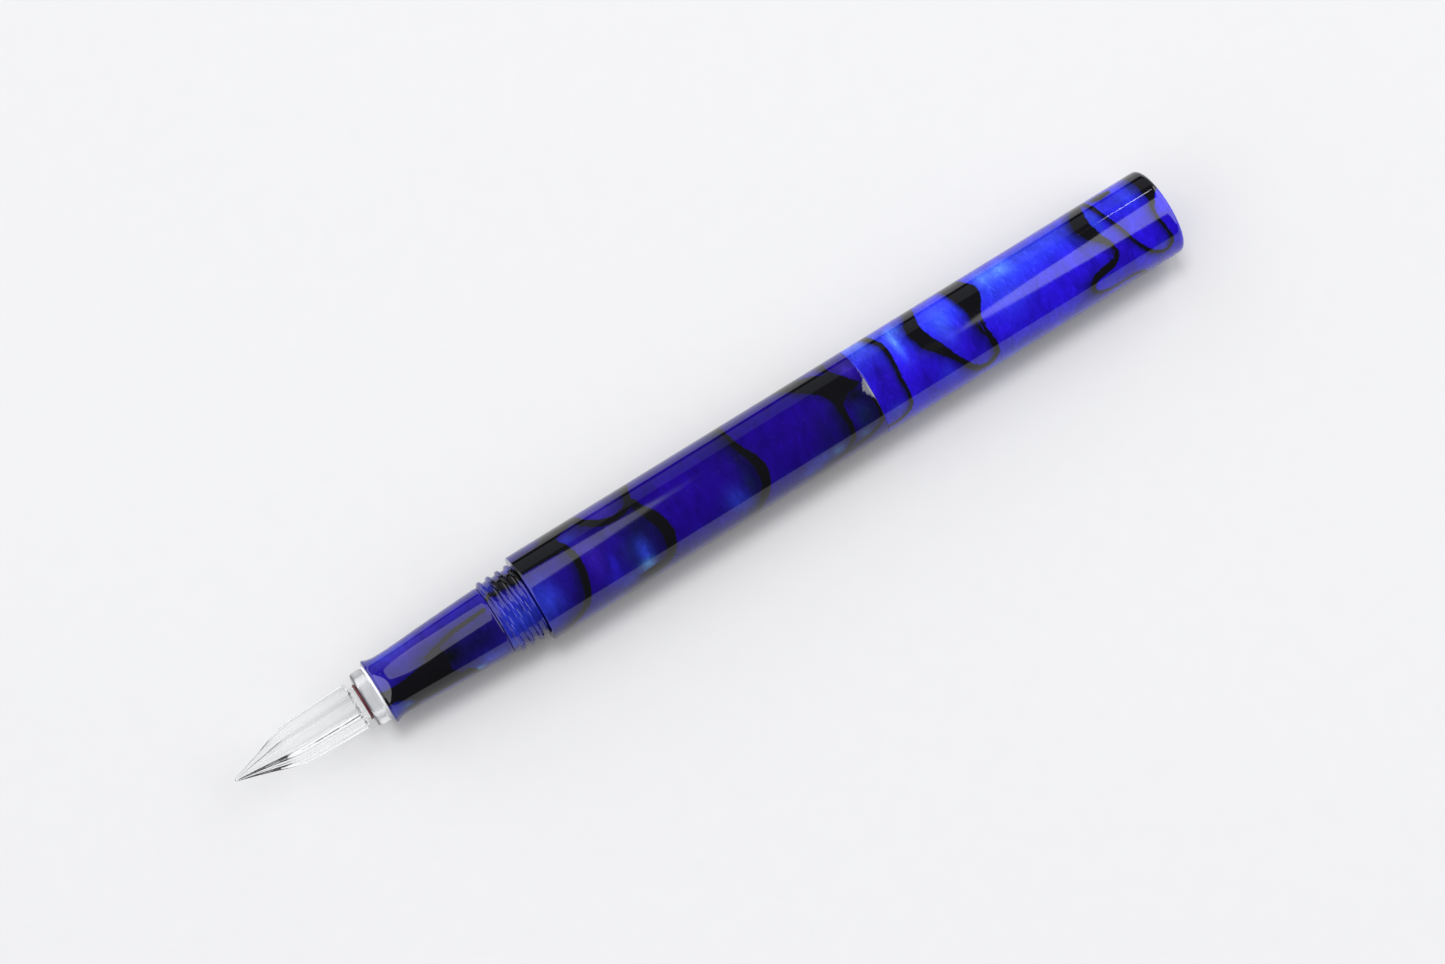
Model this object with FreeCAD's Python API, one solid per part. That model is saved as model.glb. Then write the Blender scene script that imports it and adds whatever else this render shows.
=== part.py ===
import FreeCAD, Part
import math
import os

# A screw-cap pen with a glass nib, lying along X with its point at -X and its cap posted on the tail at +X.
# Everything is drawn round the X axis, then lifted so that the pen rests on Z = 0. Millimetres.

Vector = FreeCAD.Vector
ORIGIN = Vector(0, 0, 0)
X_AXIS = Vector(1, 0, 0)
Y_AXIS = Vector(0, 1, 0)
Z_AXIS = Vector(0, 0, 1)

# Driving dimensions along the pen, from the glass point to the closed end of the cap
NIB_EXPOSED = 20.3
FLANGE_THICKNESS = 1.9
WASHER_THICKNESS = 0.3
SECTION_LENGTH = 18.7
CAP_THREAD_LENGTH = 5.6
BARREL_BODY_LENGTH = 54.2
CAP_LENGTH = 49.5

# Driving radii
BARREL_RADIUS = 6.5
SECTION_REAR_RADIUS = 5.18
FLANGE_RADIUS = 4.12

# Stations on the X axis, with the origin at the middle of the pen's whole length
PEN_LENGTH = (NIB_EXPOSED + FLANGE_THICKNESS + WASHER_THICKNESS + SECTION_LENGTH
              + CAP_THREAD_LENGTH + BARREL_BODY_LENGTH + CAP_LENGTH)
POINT_X = -PEN_LENGTH / 2
FLANGE_X = POINT_X + NIB_EXPOSED
WASHER_X = FLANGE_X + FLANGE_THICKNESS
LIP_X = WASHER_X + WASHER_THICKNESS
SHOULDER_X = LIP_X + SECTION_LENGTH
STEP_X = SHOULDER_X + CAP_THREAD_LENGTH
JOIN_X = STEP_X + BARREL_BODY_LENGTH
END_X = JOIN_X + CAP_LENGTH

# Glass nib: its outline is a list of (distance from the point, radius of the ridges)
RIDGE_OUTLINE = [(0.35, 0.3), (2.1, 0.82), (5.0, 1.78), (7.4, 2.62), (9.0, 3.08), (10.6, 3.28),
                 (13.6, 3.4), (17.6, 3.52), (19.1, 3.5)]
FLUTES = 8
FLUTE_SHARE = 0.13             # depth of a flute over the radius of its ridges
FLUTE_ROUNDNESS = 0.8          # below 1 the flutes are rounder and the ridges sharper
POINTS_PER_FLUTE = 6
POINT_RADIUS = 0.25
NECK_RADIUS = 2.35
NECK_START = 19.7              # from the point to where the fluted body has come down to its neck
NECK_SINK = 0.5                # how far the neck's solid starts inside the fluted body
NECK_INSET = 0.1               # how far inside the flutes' floors that start lies
STEM_RADIUS = 2.15
STEM_LENGTH = 10.6
NECK_RING_WIDTH = 0.35
NECK_RING_HEIGHT = 0.35

# Nib collar and the bore that holds the stem; depths are measured from the flange's front
COLLAR_LENGTH = 12.2
COLLAR_THREAD = (3.4, 8.6)
COLLAR_TAIL_RADIUS = 3.2
COLLAR_BORE_RADIUS = 2.2
FLANGE_FRONT_ROUNDING = 0.5
STEM_RING_DEPTHS = (3.0, 8.2)
STEM_RING_WIDTH = 1.0
RING_GROOVE_RADIUS = 2.7
CUSHION_THICKNESS = 0.8
WASHER_BORE_RADIUS = 3.55

# Section: its outlines are lists of (distance from its front, radius)
LIP_OUTLINE = [(0.0, 4.58), (0.1, 4.79), (0.35, 4.88)]
GRIP_OUTLINE = [(0.35, 4.88), (1.1, 4.56), (2.1, 4.43), (9.35, 4.745), (SECTION_LENGTH, SECTION_REAR_RADIUS)]
SECTION_BORE_RADIUS = 3.35
NIB_ENTRY_GAP = 0.11           # round the crest of the collar's thread, in the plain mouth of the bore
NIB_SOCKET_END_GAP = 0.6
TENON_LENGTH = 7.6
TENON_NECK_RADIUS = 3.98
TENON_NECK_SPARE = 0.3         # length of the tenon's neck past the rubber ring
SECTION_RING_RADIUS = 4.6
SECTION_RING_WIDTH = 0.9

# Barrel and its tail tenon
BARREL_BORE_RADIUS = 3.9
BARREL_BORE_END_X = JOIN_X - 8.0
DRILL_POINT_SHARE = 0.5        # depth of the bore's conical end over its radius
POCKET_END_GAP = 0.15          # room for the rubber ring, along the pen and round it
POCKET_SIDE_GAP = 0.06
SECTION_SOCKET_END_GAP = 0.4
TAIL_NECK_RADIUS = 5.15
TAIL_NECK_LENGTH = 0.7
TAIL_NECK_TAPER = 0.1
TAIL_NOSE_RADIUS = 5.1
TAIL_NOSE_LENGTH = 3.4
TAIL_NOSE_ROUNDING = 0.6

# Cap and its liner
CAP_BORE_RADIUS = 5.4
CAP_END_WALL = 1.7
CAP_MOUTH_GAP = 0.05
CAP_SOCKET_END_GAP = 0.5
CAP_END_ROUNDING = 0.8
LINER_GAP = 0.3                # between the liner and the barrel's step when the pen is capped
LINER_INNER_RADIUS = 4.5

# Rounded and bevelled edges
EDGE_ROUNDING = 0.3
STEP_ROUNDING = 0.25
RUBBER_ROUNDING = 0.15
TENON_BEVEL = 0.3
THREAD_BEVEL = 0.15

# Screw threads: pitch, radii of the outer thread's core and crest, and the gap left all round it
CAP_THREAD = {"pitch": 1.45, "core": 5.25, "crest": 5.65, "gap": 0.1}
SECTION_THREAD = {"pitch": 0.75, "core": 4.05, "crest": 4.42, "gap": 0.08}
NIB_THREAD = {"pitch": 0.5, "core": 3.4, "crest": 3.64, "gap": 0.05}
ROOT_SHARE = 0.62              # width of a ridge at the core, over the pitch
CREST_SHARE = 0.2              # width of a ridge at its crest, over the pitch
ROOT_GROWTH = 0.9              # half width that a groove gains at the core, over its gap
CREST_GROWTH = 0.6             # half width that a groove gains at its crest, over its gap
THREAD_RUN_IN = 0.55           # from the front of the barrel to the first ridge, on the +Y side
RIDGE_MARGIN = 0.06            # plain core left at each end of a ridge
GROOVE_MARGIN = 0.1            # how far a groove starts before its bore and stops before the bore's end
SINK_SHARE = 0.1               # how far a ridge is sunk into its core, over the pitch
TRIM_MARGIN = 0.5              # how far the ring that trims a ridge reaches past it
SEAM_TURN = 140                # degrees that keep the helix's seams off the seams of the core

SAME_PLACE = 1e-4              # distance under which two places count as one
LEAST_RIDGE = 1.0              # volume that any ridge or groove has at least


def turned(outline):
    """Solid of revolution round the X axis from a closed outline of (x, radius) points."""
    points = [Vector(x, radius, 0) for x, radius in outline]
    face = Part.Face(Part.makePolygon(points + points[:1]))
    return face.revolve(ORIGIN, X_AXIS, 360)


def tube(x_from, x_to, inner, outer):
    """Straight ring between two stations; an inner radius of 0 gives a rod."""
    return turned([(x_from, inner), (x_to, inner), (x_to, outer), (x_from, outer)])


def round_edges(shape, places, radius):
    """Fillets the circular edges that lie at the given (x, radius) places."""
    chosen = []
    for edge in shape.Edges:
        if isinstance(edge.Curve, Part.Circle):
            along = edge.Curve.Center.x
            across = edge.Curve.Radius
            for x, edge_radius in places:
                if abs(along - x) < SAME_PLACE and abs(across - edge_radius) < SAME_PLACE:
                    chosen.append(edge)
    return shape.makeFillet(radius, chosen)


def rubber_ring(x_from, width, inner, outer):
    """Square-section ring with its four edges rounded."""
    x_to = x_from + width
    edges = [(x, radius) for x in (x_from, x_to) for radius in (inner, outer)]
    return round_edges(tube(x_from, x_to, inner, outer), edges, RUBBER_ROUNDING)


def helical_ridge(thread, x_first, x_from, x_to, grow=0.0):
    """Right-hand ridge that passes +Y at x_first, cut off square at x_from and x_to.

    With grow above 0 it is the larger shape that cuts the mating groove.
    """
    pitch = thread["pitch"]
    half_root = pitch * ROOT_SHARE / 2 + grow * ROOT_GROWTH
    half_crest = pitch * CREST_SHARE / 2 + grow * CREST_GROWTH
    crest = thread["crest"] + grow
    sink = pitch * SINK_SHARE
    root = thread["core"] - sink
    turns_before = math.ceil((x_first - x_from) / pitch) + 1
    turns_after = math.ceil((x_to - x_first) / pitch) + 1
    start = x_first - turns_before * pitch
    length = (turns_before + turns_after) * pitch
    slope = (half_root - half_crest) / (thread["crest"] - thread["core"])
    half_sunk = half_root + slope * sink
    helix = Part.makeHelix(pitch, length, root)
    profile = Part.makePolygon([
        Vector(root, 0, -half_sunk), Vector(crest, 0, -half_crest),
        Vector(crest, 0, half_crest), Vector(root, 0, half_sunk), Vector(root, 0, -half_sunk)])
    ridge = Part.Wire(helix).makePipeShell([profile], True, True)
    ridge.rotate(ORIGIN, Z_AXIS, 90)
    ridge.rotate(ORIGIN, Y_AXIS, 90)
    ridge.rotate(ORIGIN, X_AXIS, SEAM_TURN)
    ridge.translate(Vector(start + pitch * SEAM_TURN / 360, 0, 0))
    ridge = ridge.common(tube(x_from, x_to, root - TRIM_MARGIN, crest + TRIM_MARGIN))
    if ridge.Volume < LEAST_RIDGE:
        raise ValueError("the helical ridge came out empty")
    return ridge


def add_outer_thread(blank, thread, x_first, x_from, x_to):
    """Fuses an outer thread's ridge to a blank turned to the core radius."""
    threaded = blank.fuse(helical_ridge(thread, x_first, x_from + RIDGE_MARGIN, x_to - RIDGE_MARGIN))
    if threaded.Volume < blank.Volume + LEAST_RIDGE or len(threaded.Solids) > 1:
        raise ValueError("the ridge was lost in the fuse")
    return threaded


def cut_inner_thread(bored, thread, x_first, bore_from, bore_to):
    """Cuts the mating thread's groove into a piece bored to core radius plus gap."""
    ridge = helical_ridge(thread, x_first, bore_from - GROOVE_MARGIN, bore_to - GROOVE_MARGIN, thread["gap"])
    threaded = bored.cut(ridge)
    if threaded.Volume > bored.Volume - LEAST_RIDGE:
        raise ValueError("the groove was lost in the cut")
    return threaded


def fluted_section(depth, ridge_radius):
    """Closed curve across the nib at a depth from its point, with a ridge on +Y."""
    steps = FLUTES * POINTS_PER_FLUTE
    points = []
    for step in range(steps):
        angle = 2 * math.pi * step / steps
        wave = (1 - math.cos(FLUTES * angle)) / 2
        radius = ridge_radius * (1 - FLUTE_SHARE * wave ** FLUTE_ROUNDNESS)
        points.append(Vector(POINT_X + depth, radius * math.cos(angle), radius * math.sin(angle)))
    curve = Part.BSplineCurve()
    curve.interpolate(points, PeriodicFlag=True)
    return Part.Wire(curve.toShape())


def make_glass_nib():
    body = Part.makeLoft([fluted_section(depth, radius) for depth, radius in RIDGE_OUTLINE], True)
    point = Part.makeSphere(POINT_RADIUS, Vector(POINT_X + POINT_RADIUS, 0, 0))
    last_depth, last_radius = RIDGE_OUTLINE[-1]
    root_radius = last_radius * (1 - FLUTE_SHARE) - NECK_INSET
    stem_end = FLANGE_X + STEM_LENGTH
    neck = turned([
        (POINT_X + last_depth - NECK_SINK, 0), (POINT_X + last_depth - NECK_SINK, root_radius),
        (POINT_X + last_depth, root_radius), (POINT_X + NECK_START, NECK_RADIUS),
        (FLANGE_X, NECK_RADIUS), (FLANGE_X, STEM_RADIUS), (stem_end, STEM_RADIUS), (stem_end, 0)])
    neck = round_edges(neck, [(stem_end, STEM_RADIUS)], EDGE_ROUNDING)
    return body.fuse([neck, point]).removeSplitter()


def make_neck_ring():
    outer = NECK_RADIUS + NECK_RING_HEIGHT
    return rubber_ring(FLANGE_X - NECK_RING_WIDTH, NECK_RING_WIDTH, NECK_RADIUS, outer)


def make_nib_collar():
    end = FLANGE_X + COLLAR_LENGTH
    thread_from = FLANGE_X + COLLAR_THREAD[0]
    thread_to = FLANGE_X + COLLAR_THREAD[1]
    bore_end = FLANGE_X + STEM_LENGTH + CUSHION_THICKNESS
    core = NIB_THREAD["core"]
    bore = [(bore_end, 0), (bore_end, COLLAR_BORE_RADIUS)]
    for depth in reversed(STEM_RING_DEPTHS):
        groove_from = FLANGE_X + depth
        groove_to = groove_from + STEM_RING_WIDTH
        bore += [(groove_to, COLLAR_BORE_RADIUS), (groove_to, RING_GROOVE_RADIUS),
                 (groove_from, RING_GROOVE_RADIUS), (groove_from, COLLAR_BORE_RADIUS)]
    bore.append((FLANGE_X, COLLAR_BORE_RADIUS))
    blank = turned([
        (FLANGE_X, FLANGE_RADIUS), (WASHER_X, FLANGE_RADIUS), (WASHER_X, core), (thread_to, core),
        (thread_to, COLLAR_TAIL_RADIUS), (end, COLLAR_TAIL_RADIUS), (end, 0)] + bore)
    blank = round_edges(blank, [(FLANGE_X, FLANGE_RADIUS)], FLANGE_FRONT_ROUNDING)
    blank = round_edges(blank, [(WASHER_X, FLANGE_RADIUS), (end, COLLAR_TAIL_RADIUS)], EDGE_ROUNDING)
    return add_outer_thread(blank, NIB_THREAD, thread_from, thread_from, thread_to)


def make_stem_ring(depth):
    return rubber_ring(FLANGE_X + depth, STEM_RING_WIDTH, STEM_RADIUS, RING_GROOVE_RADIUS)


def make_nib_cushion():
    x_from = FLANGE_X + STEM_LENGTH
    x_to = x_from + CUSHION_THICKNESS
    cushion = tube(x_from, x_to, 0, COLLAR_BORE_RADIUS)
    return round_edges(cushion, [(x_to, COLLAR_BORE_RADIUS)], RUBBER_ROUNDING)


def make_nib_washer():
    return tube(WASHER_X, LIP_X, WASHER_BORE_RADIUS, FLANGE_RADIUS)


def make_section():
    tenon_x = SHOULDER_X + SECTION_RING_WIDTH + TENON_NECK_SPARE
    end = SHOULDER_X + TENON_LENGTH
    core = SECTION_THREAD["core"]
    nib_thread_x = FLANGE_X + COLLAR_THREAD[0]
    nib_thread_end = FLANGE_X + COLLAR_THREAD[1] + NIB_SOCKET_END_GAP
    entry_end = nib_thread_x - GROOVE_MARGIN
    entry_radius = NIB_THREAD["crest"] + NIB_ENTRY_GAP
    nib_minor = NIB_THREAD["core"] + NIB_THREAD["gap"]
    front = [Vector(LIP_X + depth, radius, 0) for depth, radius in LIP_OUTLINE]
    lip = Part.makePolygon([Vector(LIP_X, entry_radius, 0)] + front)
    grip = Part.BSplineCurve()
    grip.interpolate([Vector(LIP_X + depth, radius, 0) for depth, radius in GRIP_OUTLINE])
    tail = Part.makePolygon([
        Vector(SHOULDER_X, SECTION_REAR_RADIUS, 0), Vector(SHOULDER_X, TENON_NECK_RADIUS, 0),
        Vector(tenon_x, TENON_NECK_RADIUS, 0), Vector(tenon_x, core, 0), Vector(end - TENON_BEVEL, core, 0),
        Vector(end, core - TENON_BEVEL, 0), Vector(end, SECTION_BORE_RADIUS, 0),
        Vector(nib_thread_end, SECTION_BORE_RADIUS, 0), Vector(nib_thread_end, nib_minor, 0),
        Vector(entry_end, nib_minor, 0), Vector(entry_end, entry_radius, 0), Vector(LIP_X, entry_radius, 0)])
    outline = Part.Wire(lip.Edges + [grip.toShape()] + tail.Edges)
    blank = Part.Face(outline).revolve(ORIGIN, X_AXIS, 360)
    section = add_outer_thread(blank, SECTION_THREAD, tenon_x, tenon_x, end - TENON_BEVEL)
    return cut_inner_thread(section, NIB_THREAD, nib_thread_x, entry_end, nib_thread_end)


def make_section_ring():
    return rubber_ring(SHOULDER_X, SECTION_RING_WIDTH, TENON_NECK_RADIUS, SECTION_RING_RADIUS)


def tail_stations():
    """Stations of the tail tenon: the end of its neck and the end of its thread."""
    neck_end = JOIN_X + TAIL_NECK_LENGTH
    return neck_end, neck_end + CAP_THREAD_LENGTH


def make_barrel():
    core = CAP_THREAD["core"]
    neck_end, thread_end = tail_stations()
    nose_end = thread_end + TAIL_NOSE_LENGTH
    front_core = SHOULDER_X + THREAD_BEVEL
    rear_core = neck_end + TAIL_NECK_TAPER
    pocket_end = SHOULDER_X + SECTION_RING_WIDTH + POCKET_END_GAP
    pocket_radius = SECTION_RING_RADIUS + POCKET_SIDE_GAP
    tenon_x = SHOULDER_X + SECTION_RING_WIDTH + TENON_NECK_SPARE
    socket_end = SHOULDER_X + TENON_LENGTH + SECTION_SOCKET_END_GAP
    socket_minor = SECTION_THREAD["core"] + SECTION_THREAD["gap"]
    drill_tip = BARREL_BORE_END_X + BARREL_BORE_RADIUS * DRILL_POINT_SHARE
    blank = turned([
        (SHOULDER_X, pocket_radius), (SHOULDER_X, core - THREAD_BEVEL), (front_core, core),
        (STEP_X, core), (STEP_X, BARREL_RADIUS), (JOIN_X, BARREL_RADIUS), (JOIN_X, TAIL_NECK_RADIUS),
        (neck_end, TAIL_NECK_RADIUS), (rear_core, core), (thread_end, core),
        (thread_end + THREAD_BEVEL, TAIL_NOSE_RADIUS), (nose_end, TAIL_NOSE_RADIUS), (nose_end, 0),
        (drill_tip, 0), (BARREL_BORE_END_X, BARREL_BORE_RADIUS), (socket_end, BARREL_BORE_RADIUS),
        (socket_end, socket_minor), (pocket_end, socket_minor), (pocket_end, pocket_radius)])
    blank = round_edges(blank, [(STEP_X, BARREL_RADIUS)], STEP_ROUNDING)
    blank = round_edges(blank, [(JOIN_X, BARREL_RADIUS)], EDGE_ROUNDING)
    blank = round_edges(blank, [(nose_end, TAIL_NOSE_RADIUS)], TAIL_NOSE_ROUNDING)
    barrel = add_outer_thread(blank, CAP_THREAD, neck_end + THREAD_RUN_IN, rear_core, thread_end)
    barrel = add_outer_thread(barrel, CAP_THREAD, SHOULDER_X + THREAD_RUN_IN, front_core, STEP_X)
    return cut_inner_thread(barrel, SECTION_THREAD, tenon_x, pocket_end, socket_end)


def make_cap():
    neck_end, thread_end = tail_stations()
    minor = CAP_THREAD["core"] + CAP_THREAD["gap"]
    mouth_radius = CAP_THREAD["crest"] + CAP_THREAD["gap"] + CAP_MOUTH_GAP
    socket_end = thread_end + CAP_SOCKET_END_GAP
    bore_end = END_X - CAP_END_WALL
    blank = turned([
        (JOIN_X, mouth_radius), (JOIN_X, BARREL_RADIUS), (END_X, BARREL_RADIUS), (END_X, 0),
        (bore_end, 0), (bore_end, CAP_BORE_RADIUS), (socket_end, CAP_BORE_RADIUS),
        (socket_end, minor), (neck_end, minor), (neck_end, mouth_radius)])
    blank = round_edges(blank, [(JOIN_X, BARREL_RADIUS)], EDGE_ROUNDING)
    blank = round_edges(blank, [(END_X, BARREL_RADIUS)], CAP_END_ROUNDING)
    return cut_inner_thread(blank, CAP_THREAD, neck_end + THREAD_RUN_IN, neck_end, socket_end)


def make_cap_liner():
    x_from = JOIN_X + SECTION_LENGTH + CAP_THREAD_LENGTH + LINER_GAP
    liner = tube(x_from, END_X - CAP_END_WALL, LINER_INNER_RADIUS, CAP_BORE_RADIUS)
    return round_edges(liner, [(x_from, LINER_INNER_RADIUS)], EDGE_ROUNDING)


def write(node, shape):
    """Lifts a piece so that the pen rests on Z = 0, checks it and writes its STEP file."""
    shape.translate(Vector(0, 0, BARREL_RADIUS))
    solids = len(shape.Solids)
    print(f"{node:22s} valid {shape.isValid()} solids {solids} volume {shape.Volume:9.2f} mm3")
    shape.exportStep(f"parts/{node}.step")


def main():
    os.makedirs("parts", exist_ok=True)
    write("glass_nib", make_glass_nib())
    write("nib_neck_ring", make_neck_ring())
    write("nib_collar", make_nib_collar())
    write("nib_stem_ring_front", make_stem_ring(STEM_RING_DEPTHS[0]))
    write("nib_stem_ring_rear", make_stem_ring(STEM_RING_DEPTHS[1]))
    write("nib_cushion", make_nib_cushion())
    write("nib_washer", make_nib_washer())
    write("section", make_section())
    write("section_ring", make_section_ring())
    write("barrel", make_barrel())
    write("cap", make_cap())
    write("cap_liner", make_cap_liner())


main()
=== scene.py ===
import math

import bpy
import numpy as np
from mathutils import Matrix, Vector


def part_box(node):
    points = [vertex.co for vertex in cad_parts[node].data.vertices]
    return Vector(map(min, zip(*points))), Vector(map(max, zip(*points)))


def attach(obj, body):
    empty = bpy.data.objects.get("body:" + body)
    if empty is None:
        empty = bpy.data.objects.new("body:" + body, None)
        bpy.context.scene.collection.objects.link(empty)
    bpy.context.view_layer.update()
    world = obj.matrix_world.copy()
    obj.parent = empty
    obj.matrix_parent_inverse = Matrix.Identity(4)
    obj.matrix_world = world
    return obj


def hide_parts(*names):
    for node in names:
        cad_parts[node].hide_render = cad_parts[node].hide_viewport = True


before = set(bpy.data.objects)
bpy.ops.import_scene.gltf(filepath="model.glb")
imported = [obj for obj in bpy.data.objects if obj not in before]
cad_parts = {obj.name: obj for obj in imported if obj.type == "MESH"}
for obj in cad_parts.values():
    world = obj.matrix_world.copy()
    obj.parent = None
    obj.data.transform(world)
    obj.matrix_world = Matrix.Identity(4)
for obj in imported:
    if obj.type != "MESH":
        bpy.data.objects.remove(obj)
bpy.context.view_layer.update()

# A screw-cap pen with a glass nib, lying along X with its point at -X. The pen's own lengths are in
# millimetres, and MM turns them into metres. The floor, the lights and the camera are in metres. Angles
# round the pen are degrees about its axis, from +Y (0) over the top (90) to -Y (180).

MM = 0.001


def station(node, corner):
    """Place along the pen, in millimetres, of a node's low (0) or high (1) end."""
    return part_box(node)[corner].x / MM


POINT_X = station("glass_nib", 0)
STEM_END_X = station("glass_nib", 1)
FLANGE_X = station("nib_collar", 0)
COLLAR_END_X = station("nib_collar", 1)
WASHER_X = station("nib_washer", 0)
LIP_X = station("section", 0)
TENON_END_X = station("section", 1)
SHOULDER_X = station("barrel", 0)
NOSE_END_X = station("barrel", 1)
JOIN_X = station("cap", 0)
END_X = station("cap", 1)
BARREL_RADIUS = (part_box("barrel")[1].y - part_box("barrel")[0].y) / 2 / MM
AXIS_Z = BARREL_RADIUS
ARC = math.radians(BARREL_RADIUS)      # millimetres round the barrel per degree

# Threads: the gap is between a ridge and the groove that it runs in
CAP_THREAD = {"pitch": 1.45, "core": 5.25, "crest": 5.65, "gap": 0.1}
SECTION_THREAD = {"pitch": 0.75, "core": 4.05, "crest": 4.42, "gap": 0.08}
NIB_THREAD = {"pitch": 0.5, "core": 3.4, "crest": 3.64, "gap": 0.05}
ROOT_SHARE = 0.62                      # a ridge's width at its root, over the pitch
CREST_SHARE = 0.2                      # and at its crest
GROOVE_ROOT_GROWTH = 0.9               # how much wider a groove is than its ridge, over the gap
GROOVE_CREST_GROWTH = 0.6
THREAD_RUN_OUT = 0.12                  # length over which a thread sinks in at its ends
RIDGE_MARGIN = 0.05                    # plain length beside the ridges of an outer thread
GROOVE_MARGIN = 0.1                    # how far grooves start and end before their socket does

# Barrel, with depths from its shoulder
CAP_THREAD_LENGTH = 5.6
FIRST_RIDGE = 0.55                     # from the start of a cap thread to the middle of its first ridge
TAIL_NECK_LENGTH = 0.7
TAIL_NECK_RADIUS = 5.15
TAIL_NECK_TAPER = 0.1
TAIL_NOSE_RADIUS = 5.1
TAIL_NOSE_TAPER = 0.15
FRONT_BEVEL = 0.15
RING_POCKET = {"depth": 1.05, "radius": 4.66}
SECTION_SOCKET = {"depth": 8.0, "radius": 4.13}
BARREL_BORE_RADIUS = 3.9
BARREL_BORE_WALL = 8.0                 # from the bore's end to the join with the cap
DRILL_POINT = 1.95
STEP_X = SHOULDER_X + CAP_THREAD_LENGTH

# Cap, with depths from its mouth
CAP_MOUTH = {"depth": 0.7, "radius": 5.8}
CAP_SOCKET = {"depth": 6.8, "radius": 5.35}
CAP_BORE_RADIUS = 5.4
CAP_END_WALL = 1.7

# Section: its lip's outline is (distance from its front, radius), and its grip's has the slope too
LIP_OUTLINE = [(0.0, 4.58), (0.1, 4.79)]
GRIP_OUTLINE = [(0.35, 4.88, -0.7), (1.1, 4.56, -0.24), (2.1, 4.43, -0.02), (9.35, 4.745, 0.052)]
GRIP_REAR_RADIUS = 5.18
GRIP_REAR_SLOPE = 0.04
LIP_LENGTH = 3.0                       # the outline is drawn finer up to here
TENON_NECK = {"length": 1.2, "radius": 3.98}
TENON_BEVEL = 0.3
SECTION_BORE_RADIUS = 3.35
NIB_SOCKET = {"start": 3.4, "end": 9.2, "radius": 3.45, "mouth": 3.75}    # from the collar's flange

# Glass nib: its outline is (distance from the point, radius of the ridges)
NIB_OUTLINE = [(0.35, 0.3), (2.1, 0.82), (5.0, 1.78), (7.4, 2.62), (9.0, 3.08), (10.6, 3.28), (13.6, 3.4),
               (17.6, 3.52), (19.1, 3.5)]
POINT_RADIUS = 0.25
NECK_START = 19.7
NECK_RADIUS = 2.35
STEM_RADIUS = 2.15
FLUTES = 8
FLUTE_SHARE = 0.13                     # depth of a flute over the radius of its ridges
FLUTE_ROUNDNESS = 0.8                  # below 1 the flutes are rounder and the ridges sharper
FLUTES_FROM = 0.2                      # from the point; they deepen over the rise and end over the fall
FLUTES_RISE = 0.3
FLUTES_TO = 19.25
FLUTES_FALL = 0.25

# Nib collar, with depths from its flange's front
COLLAR_THREAD = (3.4, 8.6)
COLLAR_THREAD_MARGIN = 0.1
COLLAR_TAIL_RADIUS = 3.2
COLLAR_BORE = {"depth": 11.4, "radius": 2.2}
FLANGE_RADIUS = 4.12
STEM_RING_DEPTHS = (3.0, 8.2)
STEM_RING_WIDTH = 1.0
RING_GROOVE_RADIUS = 2.7


# ---------------------------------------------------------------- turned meshes

ARC_WEIGHT = 0.7071                    # makes a rounded corner of 90 degrees a true arc
LARGE_ROUNDING = 0.2
SHARP_TURN = math.radians(38)
SHARP_TURN_ON_NODE = math.radians(35)


def threaded(thread, first, start, end, inner=False):
    """Thread from start to end of a run of an outline, with a ridge, or a groove if inner, at first."""
    return {"thread": thread, "first": first, "start": start, "end": end, "inner": inner}


def thread_height(run, x, angle):
    """How far a thread stands out from its core, or is cut in, at each place."""
    thread = run["thread"]
    grow = thread["gap"] if run["inner"] else 0.0
    pitch = thread["pitch"]
    half_root = pitch * ROOT_SHARE / 2 + grow * GROOVE_ROOT_GROWTH
    half_crest = pitch * CREST_SHARE / 2 + grow * GROOVE_CREST_GROWTH
    offset = (x - run["first"] - pitch * angle / 360 + pitch / 2) % pitch - pitch / 2
    shape = np.clip((half_root - np.abs(offset)) / (half_root - half_crest), 0, 1)
    shape = shape * shape * (3 - 2 * shape)
    inside = np.clip(np.minimum(x - run["start"], run["end"] - x) / THREAD_RUN_OUT, 0, 1)
    return (thread["crest"] - thread["core"]) * shape * inside


def corner(x, r, rounding=0.0, step=1.0, run=None):
    """Corner of an outline; the step between rows and the thread's run hold up to the next corner."""
    return {"at": np.array([x, r], float), "rounding": rounding, "step": step, "run": run}


def shortened(here, goal, length):
    """The place at a length from here towards goal."""
    return here + (goal - here) / np.linalg.norm(goal - here) * length


def rounded(start, here, end, segments):
    """Rows along the arc that rounds a corner."""
    rows = []
    for k in range(segments + 1):
        t = k / segments
        weight = ARC_WEIGHT * 2 * t * (1 - t)
        total = (1 - t) ** 2 + weight + t ** 2
        place = ((1 - t) ** 2 * start + weight * here + t ** 2 * end) / total
        rows.append((place[0], place[1], None))
    return rows


def rows_of(corners, closed):
    """Rows (x, radius, thread) along an outline, with its corners rounded and its runs divided."""
    rows = []
    count = len(corners)
    for i, c in enumerate(corners):
        here = c["at"]
        before = corners[i - 1]["at"]
        after = corners[(i + 1) % count]
        if c["rounding"] > 0:
            start = shortened(here, before, c["rounding"])
            end = shortened(here, after["at"], c["rounding"])
            rows += rounded(start, here, end, 7 if c["rounding"] > LARGE_ROUNDING else 3)
            here = end
        else:
            rows.append((here[0], here[1], None))
        if i == count - 1 and not closed:
            break
        goal = after["at"]
        if after["rounding"] > 0:
            goal = shortened(goal, here, after["rounding"])
        divisions = max(1, round(float(np.linalg.norm(goal - here)) / c["step"]))
        for k in range(1, divisions):
            place = here + (goal - here) * k / divisions
            rows.append((place[0], place[1], c["run"]))
    return rows


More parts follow.
